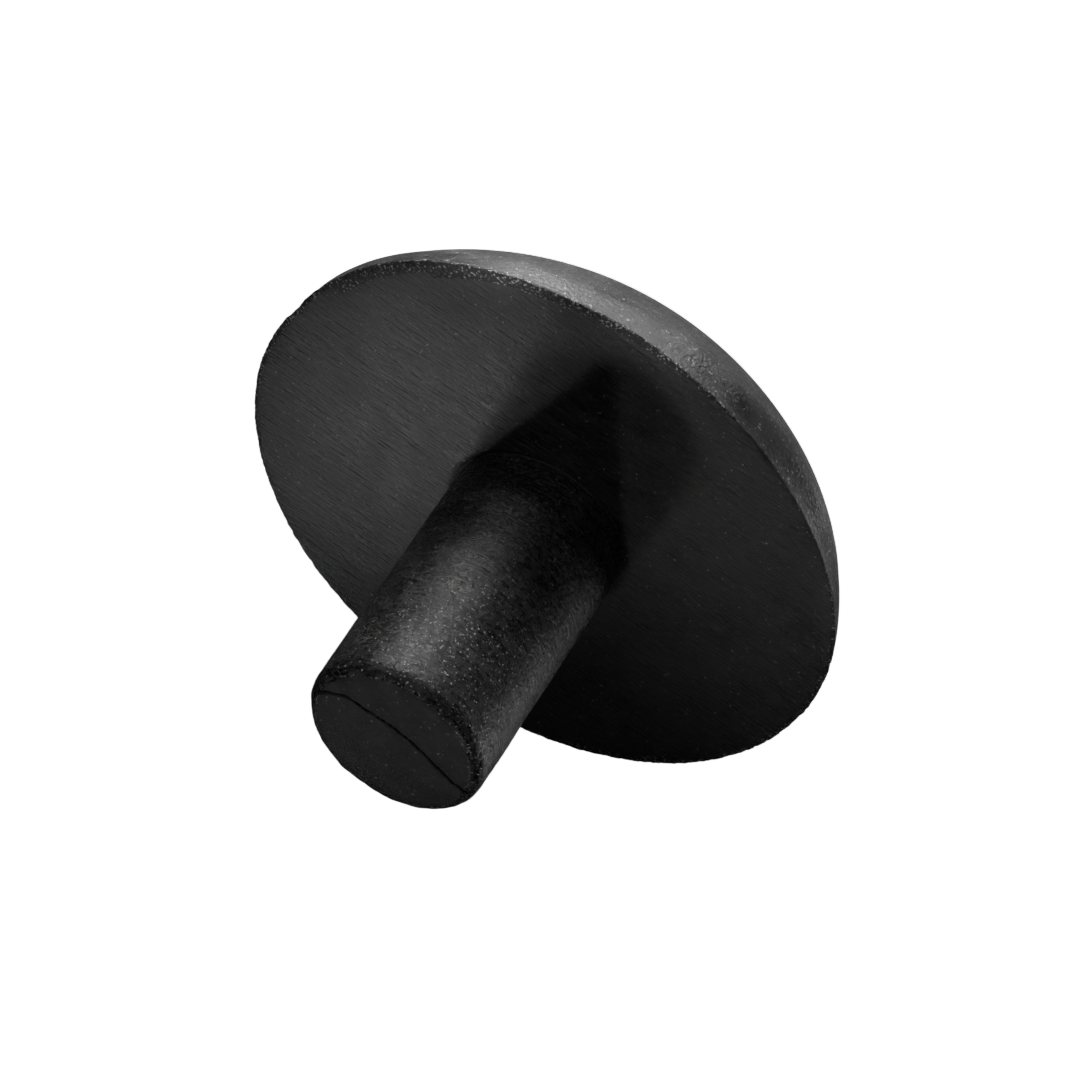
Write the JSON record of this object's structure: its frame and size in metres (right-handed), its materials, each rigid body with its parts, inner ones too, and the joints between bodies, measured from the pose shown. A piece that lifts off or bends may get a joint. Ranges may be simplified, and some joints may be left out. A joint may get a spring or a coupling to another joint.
{
  "type": "sink plunger",
  "caption": "Solid rubber plunger: a shallow dome that seats in the mouth of a sink drain, and a plain round stem to hold it by.",
  "frame": {"origin": "lowest point of the dome, on the plunger's axis", "axes": "+Z along the stem, from the dome to the stem's end; the part is round about Z, so X and Y are only a choice"},
  "size_m": [0.05, 0.05, 0.0398],
  "materials": {
    "head_rubber": "matte black rubber, milled back face, dusty dome",
    "stem_rubber": "satin black rubber with fine marks round it",
    "cement": "cured rubber cement, dark grey"
  },
  "bodies": {
    "root": {"dome_head": "head_rubber", "stem": "stem_rubber", "cement_film": "cement"}
  },
  "joints": []
}
